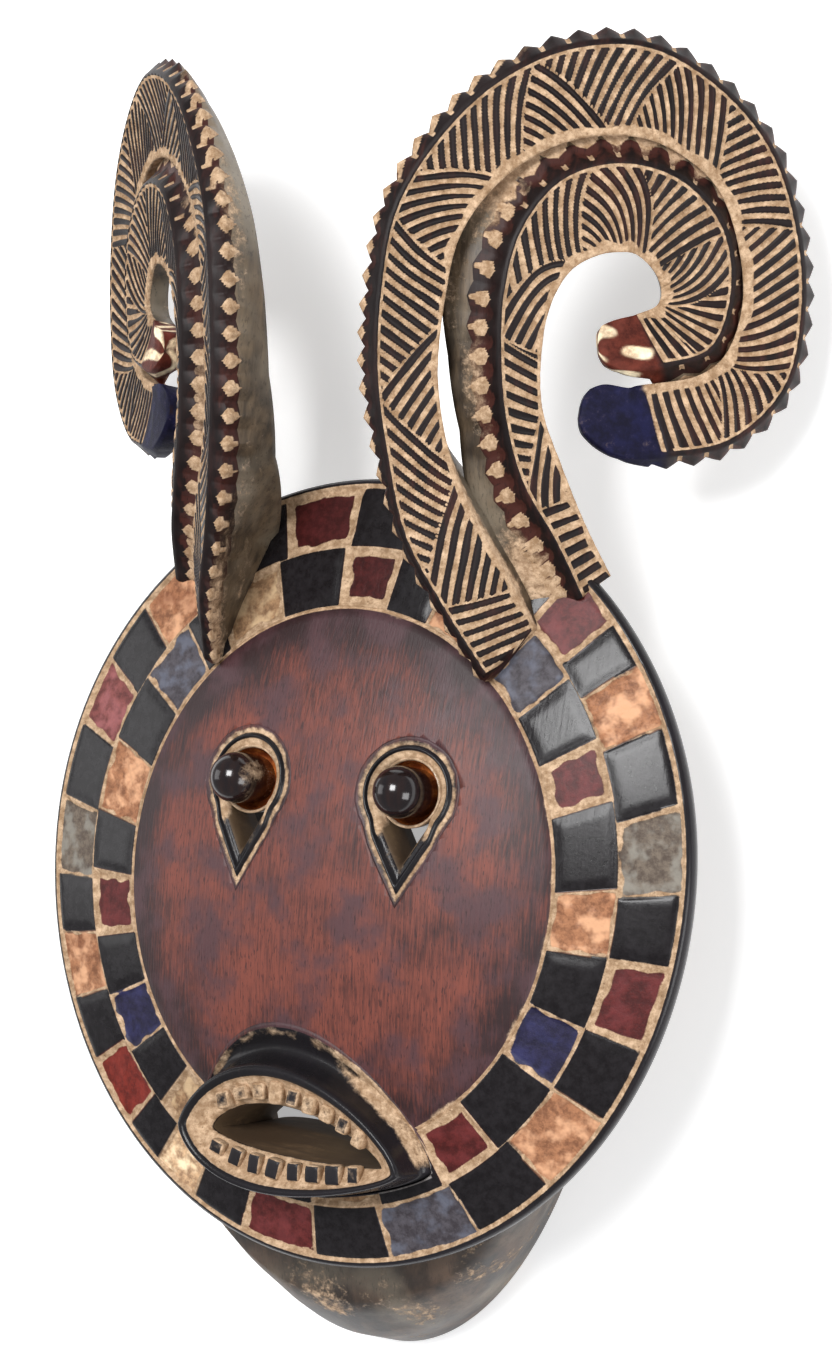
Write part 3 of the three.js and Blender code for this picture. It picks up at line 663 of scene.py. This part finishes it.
def mouthLip():
    # rings of one almond from the field over the hood and the lip and down the throat
    columns = mouth["columns"]
    angle = turns(columns)
    rows, dust, slots = [], [], []
    upper = smoothStep(-0.15, 0.35, np.sin(angle))
    for halfWidth, above, below, level, over, amount, slot in mouth["rings"]:
        flat = almondRing(angle, halfWidth, above, below)
        x, y = flat.T
        ground = plateLevel(x, y)
        if level is None:
            z = ground + over
            # the dust round the hood lies thickest on its right side and hardly at all below the lip
            side = 0.66 + 0.72 * smoothStep(-0.1, 0.6, np.cos(angle))
            amount = amount * upper * side + 0.14 * wobble(x, y, 61, 2.5) * (amount > 0.1)
        else:
            z = np.full(columns, level) if level > 18 or slot == 1 else np.maximum(level, ground - 3.2)
            z = z + 0.25 * wobble(x, y, 62, 5) * (17 < level < 21)
            amount = amount * (1 + 0.12 * wobble(x, y, 63, 1.8))
            # above the lip only the hood's right flank is dusty
            if level < 16 and slot == 0:
                amount = amount * 2.4 * upper * smoothStep(-0.1, 0.5, np.cos(angle))
        rows.append(np.concatenate([flat, z[:, None]], 1))
        dust.append(np.clip(amount * np.ones(columns), 0, 1))
        slots.append(slot)
    under = rows[0].copy()
    under[:, 2] = np.minimum(rows[-1][:, 2], rows[0][:, 2] - 4)
    rows.append(under)
    dust.append(np.zeros(columns))
    slots.append(1)
    points = np.concatenate(rows)
    # the first rings lie in the field above the lip and take its finish there
    quadSlots = np.repeat(slots, columns)
    quadSlots = np.where((quadSlots == 2) & (np.tile(upper, len(rows)) < 0.6), 0, quadSlots)
    keepPiece(newPiece("mouthLip", points, gridQuads(len(rows), columns, True), None,
                       {"dust": np.concatenate(dust), "tone": np.full(len(points), -0.2)},
                       quadSlots, (lipWood, tunnelWood, fieldWood)))


def mouthTeeth():
    # rounded blocks, each one the rings of a squared ball, dark in the middle and dusty round their edges
    power = lambda value: np.sign(value) * np.abs(value) ** mouth["squareness"]
    u, v = np.meshgrid(turns(mouth["toothColumns"]), np.linspace(-1.45, 1.45, mouth["toothRings"]))
    block = np.stack([power(np.cos(v)) * power(np.cos(u)), power(np.cos(v)) * power(np.sin(u)),
                      power(np.sin(v))], -1)
    edgeDust = smoothStep(0.72, 0.97, np.abs(block[..., :2]).max(-1).ravel()) * 0.6
    allPoints, allQuads, allCaps, dust = [], [], [], []
    draw = np.random.default_rng(7)
    for count, above in ((mouth["upper"], True), (mouth["lower"], False)):
        # where the row runs, how its blocks fan out and how much of the dirt shows
        along = (11.2 + 19.4) / 2 if above else (-3.2 - 11.0) / 2
        fan, shows = (0.5, 0.62) if above else (-0.3, 0.42)
        for i in range(count):
            t = -0.78 + 1.5 * i / (count - 1)
            bulge = np.sqrt(1 - t * t) ** mouth["power"]
            lean = 1 - (mouth["leanAbove"] if above else mouth["leanBelow"]) * t
            place = inMouth(mouth["toothSpan"] * t, along * bulge * lean)
            size = np.array(mouth["tooth"]) * draw.uniform(0.78, 1.12, 3)
            size[1] *= 0.55 + 0.45 * bulge
            turn = np.radians(mouth["tilt"]) - fan * t + draw.uniform(-0.1, 0.1)
            shape = block * size / 2
            flat = place + turnedBy(turn, shape[..., 0], shape[..., 1])
            ends = [[*place, mouth["toothLevel"] + half] for half in (-size[2] / 2, size[2] / 2)]
            rings = np.concatenate([flat, shape[..., 2:] + mouth["toothLevel"]], -1)
            points, quads, caps = closedTube(rings, ends)
            start = len(allPoints) * len(points)
            allPoints.append(points)
            allQuads.append(quads + start)
            allCaps.append(caps + start)
            dirty = draw.uniform(0.65, 1.1) if above else draw.uniform(0.1, 0.5) + 0.4 * (abs(t) > 0.6)
            dust.append(np.concatenate([np.clip(edgeDust + dirty * shows, 0, 1), [dirty, dirty * 0.5]]))
    points = np.concatenate(allPoints)
    keepPiece(newPiece("mouthTeeth", points, np.concatenate(allQuads), np.concatenate(allCaps),
                       {"dust": np.concatenate(dust), "matt": np.full(len(points), 0.2)},
                       materials=(lipWood,)))


# horns: the plane of the carved faces, then two strands each with their rows as in the part's source
horn = {
    "plane": (57.3, -0.84, 0.163), "reach": 129.0, "height": 247.0, "toothWidth": 5.2, "toothNotch": 2.3,
    "toothFall": 4.8, "notchRise": 0.9, "strip": (1.2, 0.7), "flankShare": 0.72, "edgeRound": 1.5,
    "perTooth": 16, "pitch": 3.35, "grooveDeep": 0.75, "borderLine": 1.15, "toothBack": 4.2, "tipSteps": 26,
    "rings": (30, 3, 6, 8, 4, 4, 5),
}
outerStrand = {
    "teeth": 51, "faceFall": 3.2,
    "rows": [
        [0.399, 0.243, 0.481, 0.304, 8, 8, 20, 1, -3], [0.344, 0.315, 0.442, 0.366, 1.5, 3, 34, 1, -5],
        [0.279, 0.396, 0.390, 0.431, 0, 0, 42, 1, -6], [0.248, 0.488, 0.353, 0.509, 0, 0, 25, 0.4, -4],
        [0.230, 0.583, 0.341, 0.590, 0, 0, 19, 0, -3], [0.236, 0.680, 0.354, 0.681, 0, 0, 18, 0, -3],
        [0.264, 0.777, 0.380, 0.754, 0, 0, 16, 0, -2.6], [0.339, 0.864, 0.436, 0.812, 0, 0, 13.5, 0, -2],
        [0.443, 0.937, 0.516, 0.859, 0, 0, 10.5, 0, -1.5], [0.573, 0.986, 0.599, 0.885, 0, 0, 10, 0, -1],
        [0.714, 0.999, 0.698, 0.894, 0, 0, 10, 0, -1], [0.840, 0.963, 0.770, 0.882, 0, 0, 10, 0, -1],
        [0.936, 0.898, 0.843, 0.847, 0, 0, 10, 0, -1], [0.985, 0.811, 0.881, 0.789, 0, 0, 10, 0, -1],
        [0.998, 0.715, 0.893, 0.713, 0, 0, 10, 0, -1], [0.968, 0.619, 0.863, 0.651, 0, 0, 10, 0, -1],
        [0.868, 0.549, 0.815, 0.623, 0, 0, 10, 0, -1], [0.727, 0.522, 0.698, 0.602, 0, 0, 10, 0, -1]],
    "tip": [[0.671, 0.517, 0.682, 0.599, 0.4, 9.5], [0.624, 0.528, 0.632, 0.600, 1.2, 8],
            [0.583, 0.549, 0.592, 0.589, 2.6, 5]],
    "sides": [(0.0, -0.02), (0.061, 0.043), (0.083, 0.155), (0.221, 0.162), (0.221, 0.277), (0.349, 0.321),
              (0.382, 0.432), (0.502, 0.455), (0.502, 0.564), (0.616, 0.577), (0.657, 0.702), (0.768, 0.752),
              (0.801, 0.832), (0.869, 0.901), (0.950, 0.915), (1.0, 1.0)],
    "paint": (0.006, 0.006, 0.027), "paintFrom": 0.985, "dustFrom": 0.36,
}
innerStrand = {
    "teeth": 31, "faceFall": 2.6,
    "rows": [
        [0.581, 0.345, 0.636, 0.374, 7, 7, 14, 0, 11], [0.545, 0.409, 0.602, 0.432, 2, 2, 17, 0, 14],
        [0.491, 0.473, 0.564, 0.498, 0, 0, 17, 0, 11], [0.460, 0.545, 0.529, 0.562, 0, 0, 18, 0, 8],
        [0.450, 0.621, 0.526, 0.626, 0, 0, 18, 0, 9.5], [0.455, 0.697, 0.543, 0.687, 0, 0, 17, 0, 13],
        [0.487, 0.773, 0.580, 0.730, 0, 0, 14, 0, 10.5], [0.560, 0.835, 0.629, 0.751, 0, 0, 11, 0, 8],
        [0.666, 0.862, 0.664, 0.757, 0, 0, 10, 0, 6.5], [0.774, 0.850, 0.695, 0.757, 0, 0, 10, 0, 5],
        [0.850, 0.801, 0.733, 0.736, 0, 0, 10, 0, 3], [0.868, 0.728, 0.743, 0.714, 0, 0, 10, 0, 3],
        [0.831, 0.656, 0.735, 0.700, 0, 0, 10, 0, 3], [0.726, 0.627, 0.693, 0.685, 0, 0, 10, 0, 3]],
    "tip": [[0.667, 0.620, 0.651, 0.676, 0.5, 9], [0.624, 0.629, 0.617, 0.666, 2, 6]],
    "sides": [(0.0, -0.02), (0.118, 0.114), (0.140, 0.236), (0.329, 0.299), (0.331, 0.309), (0.362, 0.494),
              (0.582, 0.50), (0.638, 0.727), (0.781, 0.76), (0.828, 0.912), (0.941, 0.95), (1.0, 1.0)],
    "paint": (0.085, 0.018, 0.011), "paintFrom": 0.985, "dustFrom": 0.46,
}


def hornLevel(x, y):
    # the plane of the carved faces: its level, plus one slope times x and one times y
    level, aside, upward = horn["plane"]
    return level + aside * x + upward * y


def railPoints(points, t):
    # a centripetal Catmull-Rom curve through all points, read at shares t of its rows
    points = np.concatenate([[2 * points[0] - points[1]], points, [2 * points[-1] - points[-2]]])
    place = t * (len(points) - 3)
    i = np.minimum(np.floor(place).astype(int), len(points) - 4)
    w = (place - i)[:, None]
    p0, p1, p2, p3 = (points[i + k] for k in range(4))
    step = lambda a, b: (((a - b) ** 2).sum(1) ** 0.25)[:, None]
    d0, d1, d2 = step(p0, p1), step(p1, p2), step(p2, p3)
    m1 = ((p1 - p0) / d0 - (p2 - p0) / (d0 + d1) + (p2 - p1) / d1) * d1
    m2 = ((p2 - p1) / d1 - (p3 - p1) / (d1 + d2) + (p3 - p2) / d2) * d1
    return p1 + m1 * w + (3 * (p2 - p1) - 2 * m1 - m2) * w ** 2 + (2 * (p1 - p2) + m1 + m2) * w ** 3


def hatchGroove(strand, t, w, width, length, seed):
    # lines in each zigzag triangle run parallel to its far side; 1 in a groove, 0 on a rib
    sides = np.array(strand["sides"])
    crossing = sides[:, 0][:, None, None] + (sides[:, 1] - sides[:, 0])[:, None, None] * w[None]
    section = (t[None] > crossing).sum(0).clip(0, len(sides) - 1)
    far = sides[section]
    distance = (far[..., 0] + (far[..., 1] - far[..., 0]) * w - t) * length
    lean = np.arctan2((far[..., 1] - far[..., 0]) * length, width)
    across = distance * np.cos(lean)
    across = across + 0.32 * wobble(t * length, w * width, seed, 7)
    phase = across / horn["pitch"]
    off = np.abs(phase - np.round(phase)) * horn["pitch"]
    halfWidth = 0.74 + 0.16 * wobble(t * length, w * width, seed + 1, 4)
    return 1 - smoothStep(halfWidth - 0.32, halfWidth + 0.32, off)


def strandPiece(strand, name, side, seed):
    # stations along two rails; at each one a closed section from the face's foot over the face, the smooth
    # strip, the teeth, the flank and the back
    rows, tip = np.array(strand["rows"], float), np.array(strand["tip"], float)

    def lifted(table, k, sink):
        # the table's points in mm on the plane of the faces, less how far each one is sunk
        x, y = table[:, k] * horn["reach"], table[:, k + 1] * horn["height"]
        return np.stack([x, y, hornLevel(x, y) - table[:, sink]], -1)

    steps = strand["teeth"] * horn["perTooth"]
    t = np.linspace(0, 1, steps + 1)
    place = t * (len(rows) - 1)
    thick, root, slope = (np.interp(place, np.arange(len(rows)), rows[:, k]) for k in (6, 7, 8))
    # the blunt tip: both rails go on through the tip's rows
    q = np.linspace(0, 1, horn["tipSteps"] + 1)[1:]
    rails = []
    for k, sink in ((0, 4), (2, 5)):
        rail = railPoints(lifted(rows, k, sink), t)
        rails.append(np.concatenate([rail, railPoints(np.concatenate([rail[-1:], lifted(tip, k, 4)]), q)]))
    border, inner = rails
    tipPlace = np.linspace(0, 1, len(tip) + 1)
    thick = np.concatenate([thick, np.interp(q, tipPlace, np.concatenate([[thick[-1]], tip[:, 5]]))])
    root, slope = np.concatenate([root, 0 * q]), np.concatenate([slope, slope[-1] * (1 - q)])
    outward = np.concatenate([np.ones(steps + 1), np.interp(q, tipPlace, [1] + [0.25] * len(tip))])
    t = np.concatenate([t, 1 + q * 0.06])
    stations = len(t)

    tooth = np.arange(stations) / horn["perTooth"]
    phase = tooth - np.floor(tooth)
    peak = np.where(t > 1, 0.5, (1 - np.abs(2 * phase - 1)) ** 0.9)
    width = np.linalg.norm(inner - border, axis=1)
    across = unit(inner - border)
    level, aside, upward = horn["plane"]
    intoHorn = -unit(np.array([-aside, -upward, 1.0]))
    way = unit(intoHorn[None] * (1 - root[:, None]) + np.array([0, 0, -1.0]) * root[:, None])

    reachOut = (horn["toothWidth"] - horn["toothNotch"] * (1 - peak)) * outward
    fall = (np.minimum(horn["toothFall"], thick * 0.55) - horn["notchRise"] * (1 - peak)) * outward + 0.4
    slant = slope * (t <= 1)
    foot = (width, strand["faceFall"] * outward)
    # the section's corners: how far in from the border, how far down; each is the end of one zone
    corners = [foot, (0, 0), (-horn["strip"][0] * outward, horn["strip"][1] * outward), (-reachOut, fall),
               (-horn["toothBack"] * outward - slant, thick * horn["flankShare"]), (-0.4 * slant, thick),
               (width - horn["edgeRound"], thick), foot]
    keys = np.stack([np.stack([along + 0 * width, down + 0 * width], -1) for along, down in corners], 1)
    zone = np.repeat(np.arange(len(horn["rings"])), horn["rings"])
    local = np.concatenate([np.arange(count) / count for count in horn["rings"]])
    section = keys[:, zone] * (1 - local)[None, :, None] + keys[:, zone + 1] * local[None, :, None]
    columns = section.shape[1]
    onZone = lambda *wanted: np.isin(zone, wanted)[None, :]
    a, d = section[..., 0].copy(), section[..., 1].copy()

    w = np.clip(a / width[:, None], 0, 1)
    # a slightly hollow face instead of a flat one
    d = d + onZone(0) * 0.5 * np.sin(np.pi * w)
    arc = np.concatenate([[0], np.cumsum(np.linalg.norm(np.diff((border + inner) / 2, axis=0), axis=1))])
    length = float(np.interp(1.0, t, arc))
    grid, arcGrid = (np.broadcast_to(v[:, None], w.shape) for v in (t, arc))
    groove = hatchGroove(strand, grid, w, width[:, None], length, seed) * onZone(0)
    groove = groove * (grid < strand["paintFrom"] + 0.01)
    fromBorder = w * width[:, None]
    line = (1 - smoothStep(horn["borderLine"] - 0.25, horn["borderLine"] + 0.25, fromBorder)) * onZone(0)
    fromInner = width[:, None] - fromBorder + 0.9 * wobble(arcGrid, fromBorder, seed + 5, 3)
    inCurl = smoothStep(strand["dustFrom"] - 0.06, strand["dustFrom"] + 0.06, grid)
    heaped = (1 - smoothStep(0.6 + 1.3 * inCurl, 2.2 + 1.8 * inCurl, fromInner)) * onZone(0)
    painted = smoothStep(strand["paintFrom"], strand["paintFrom"] + 0.012, grid)
    bare = (t <= strand["paintFrom"])[:, None]
    d = d + groove * horn["grooveDeep"] * (1 - heaped * 0.6)
    dust = np.maximum.reduce([groove * 0.97, line * bare, heaped])

    # dusty diamonds on the teeth, centred on each tooth's ridge
    gaps = np.linalg.norm(np.diff(section, axis=1), axis=2)
    alongSection = np.concatenate([np.zeros((stations, 1)), np.cumsum(gaps, 1)], 1)
    ridge = int(np.argmax(zone == 3))
    fromRidge = np.abs(alongSection - alongSection[:, ridge:ridge + 1] - 0.6)
    diamond = 1 - smoothStep(0.84, 1.06, np.abs(phase - 0.5)[:, None] / 0.38 + fromRidge / 3.9)
    onTeeth = onZone(2, 3) * bare
    # further round the curl the teeth are mostly bare
    fade = 1 - 0.75 * smoothStep(0.42, 0.54, grid)
    dust = np.maximum(dust, diamond * onTeeth * 0.95 * fade)
    # in the curl each tooth also has dust on the side that faces back along the strand
    facet = (smoothStep(0.02, 0.1, phase) * (1 - smoothStep(0.40, 0.48, phase)))[:, None] * onZone(2)
    facet = facet * smoothStep(0.35, 0.55, local)[None, :] * inCurl * bare
    dust = np.maximum(dust, facet * 0.85 * fade)
    # and a thin dusty line runs down every valley between two teeth
    valley = (1 - smoothStep(0.1, 0.36, peak))[:, None] * onZone(2) * smoothStep(0.0, 0.2, local)[None, :]
    dust = np.maximum(dust, valley * 0.85 * inCurl * bare)
    inNotch = onTeeth * (1 - smoothStep(0.5, 1.0, peak))[:, None] * (fromRidge < 3)
    tone = -0.15 + 0.6 * inNotch * (0.5 + 0.5 * (strand is innerStrand)) + onZone(3, 4, 5, 6) * 0.25
    worn = 0.22 + 0.14 * wobble(arcGrid * 0.4, alongSection * 1.5, seed + 9, 5)
    # a speckled stripe runs along the flank just behind the teeth
    worn = worn + 0.05 * onZone(3) * (1 - smoothStep(0.5, 0.9, local))[None, :]
    if strand is innerStrand:
        worn = worn + (0.05 + 0.70 * inCurl * smoothStep(1.5, 3, fromRidge)) * onZone(3)
    # dust has gathered low in the valley between the two roots
    worn = worn + 0.22 * (1 - smoothStep(0.04, 0.13, grid)) * onZone(3, 6)
    # the two strands' facing walls in the curl are full of dust
    worn = worn + 0.6 * inCurl * onZone(6) * (strand is outerStrand)
    dust = np.maximum(dust, onZone(3, 4, 5, 6) * worn * (1 - diamond * onTeeth))
    dust = dust * (1 - painted) + 0.34 * painted * (strand is outerStrand)

    points = border[:, None] + across[:, None] * a[..., None] + way[:, None] * d[..., None]
    # close both ends: the root inside the plate, the tip rounded over its last 2.2 mm
    middle = points.mean(1)
    ending = np.clip((arc - (arc[-1] - 2.2)) / 2.2, 0, 1)
    shrink = np.sqrt(np.clip(1 - 0.86 * ending ** 2, 0, 1))
    points = middle[:, None] + (points - middle[:, None]) * shrink[:, None, None]
    points, quads, caps = closedTube(points, middle[[0, -1]])
    points[:, 0] *= side
    extend = lambda v: np.concatenate([np.broadcast_to(v, w.shape).reshape(-1), [0, 0]])
    tint = np.tile(np.array(strand["paint"]), (len(points), 1))
    if strand is innerStrand:
        # cream wood shows where its red tip is chipped
        chipped = smoothStep(0.15, 0.5, wobble(extend(arcGrid), extend(alongSection), seed + 2, 2.2))
        tint = tint * (1 - chipped[:, None]) + np.array([[0.75, 0.62, 0.42]]) * chipped[:, None]
    values = {"dust": extend(dust), "tone": extend(tone), "painted": extend(painted), "tint": tint,
              "matt": extend(painted * 0.35)}
    # the quads of the flank and the back take the plainer finish
    backColumn = (zone >= 4) | ((zone == 3) & (local > 0.3))
    quadSlots = np.tile(backColumn, stations - 1) * (np.repeat(t[:-1], columns) < strand["paintFrom"])
    keepPiece(newPiece(name, points, quads, caps, values, quadSlots.astype(int), (hornWood, hornBackWood)))


def cutThrough(body, tool):
    # takes the tool's volume out of the body and deletes the tool
    cut = body.modifiers.new("cut", "BOOLEAN")
    cut.operation, cut.solver, cut.object = "DIFFERENCE", "MANIFOLD", tool
    tool.data.materials.clear()
    tool.data.materials.append(body.data.materials[2])
    graph = bpy.context.evaluated_depsgraph_get()
    graph.update()
    seen = body.evaluated_get(graph)
    mesh = bpy.data.meshes.new_from_object(seen, preserve_all_data_layers=True, depsgraph=graph)
    body.modifiers.clear()
    body.data = mesh
    bpy.data.objects.remove(tool)


def placing(right, up, back, place):
    # a matrix whose columns are the three directions and the place
    return Matrix([[right[k], up[k], back[k], place[k]] for k in range(3)] + [[0, 0, 0, 1]])


# camera: the photograph's own place and angle, solved from the face's ovals, the eyes and the horns
view = {
    "place": (449.612, 33.236, 736.169), "forward": (-0.50516816, 0.02999509, -0.86249952),
    "right": (0.86124624, 0.08158037, -0.501597), "lens": 2741 / 1350 * 36, "clip": (0.05, 50),
}


def placeCamera():
    # up is square to right and forward, and the camera looks along its own minus z
    forward, right = np.array(view["forward"]), np.array(view["right"])
    camera = bpy.data.cameras.new("photoCamera")
    camera.lens, camera.sensor_width, camera.sensor_fit = view["lens"], 36, "AUTO"
    camera.clip_start, camera.clip_end = view["clip"]
    thing = addObject("photoCamera", camera)
    thing.matrix_world = placing(right, np.cross(right, forward), -forward, toMetres(view["place"]))
    bpy.context.scene.camera = thing
    bpy.context.scene.view_settings.view_transform = "Standard"


# light: a pale floor, a soft pale surround and three wide lamps
studio = {
    "floorHalf": 9.0, "floorColour": (0.92, 0.92, 0.92, 1), "floorGlow": 0.40,
    "surround": (0.95, 0.97, 1.0, 1), "surroundStrength": 0.38, "aim": (0, 0, 0.05),
    # name, place, width, power
    "lamps": [("keyLamp", (0.05, 0.45, 1.6), 0.62, 27), ("fillLamp", (1.7, -0.5, 0.9), 0.9, 18),
              ("leftLamp", (-1.5, 0.1, 1.0), 0.9, 6)],
}


def setStage():
    # a square floor at level 0, an even room, and lamps whose backs point away from the aim
    mesh = bpy.data.meshes.new("paleFloor")
    half = studio["floorHalf"]
    corners = [(-half, -half, 0), (half, -half, 0), (half, half, 0), (-half, half, 0)]
    mesh.from_pydata(corners, [], [(0, 1, 2, 3)])
    floor = addObject("paleFloor", mesh)
    material = bpy.data.materials.new("palePaper")
    material.use_nodes = True
    shader = material.node_tree.nodes["Principled BSDF"]
    shader.inputs["Base Color"].default_value = studio["floorColour"]
    shader.inputs["Roughness"].default_value = 0.9
    shader.inputs["Emission Color"].default_value = (1, 1, 1, 1)
    shader.inputs["Emission Strength"].default_value = studio["floorGlow"]
    mesh.materials.append(material)
    world = bpy.data.worlds.new("softRoom")
    bpy.context.scene.world = world
    world.use_nodes = True
    background = world.node_tree.nodes["Background"]
    background.inputs["Color"].default_value = studio["surround"]
    background.inputs["Strength"].default_value = studio["surroundStrength"]
    for name, place, width, power in studio["lamps"]:
        light = bpy.data.lights.new(name, "AREA")
        light.energy, light.size = power, width
        back = unit(np.array(place) - np.array(studio["aim"]))
        side = unit(np.cross([0, 1, 0.01], back))
        addObject(name, light).matrix_world = placing(side, np.cross(back, side), back, place)


placeCamera()
setStage()
body = faceBody()
for eyeSide in (-1, 1):
    cutThrough(body, eyeHole(eyeSide))
cutThrough(body, holeTool(almondRing(turns(96), *mouth["hole"])))
keepPiece(body)
for eyeSide, word in ((-1, "left"), (1, "right")):
    eyePieces(eyeSide, word)
mouthLip()
mouthTeeth()
for hornSide, word, seed in ((-1, "left", 151), (1, "right", 101)):
    strandPiece(outerStrand, word + "OuterStrand", hornSide, seed)
    strandPiece(innerStrand, word + "InnerStrand", hornSide, seed + 100)
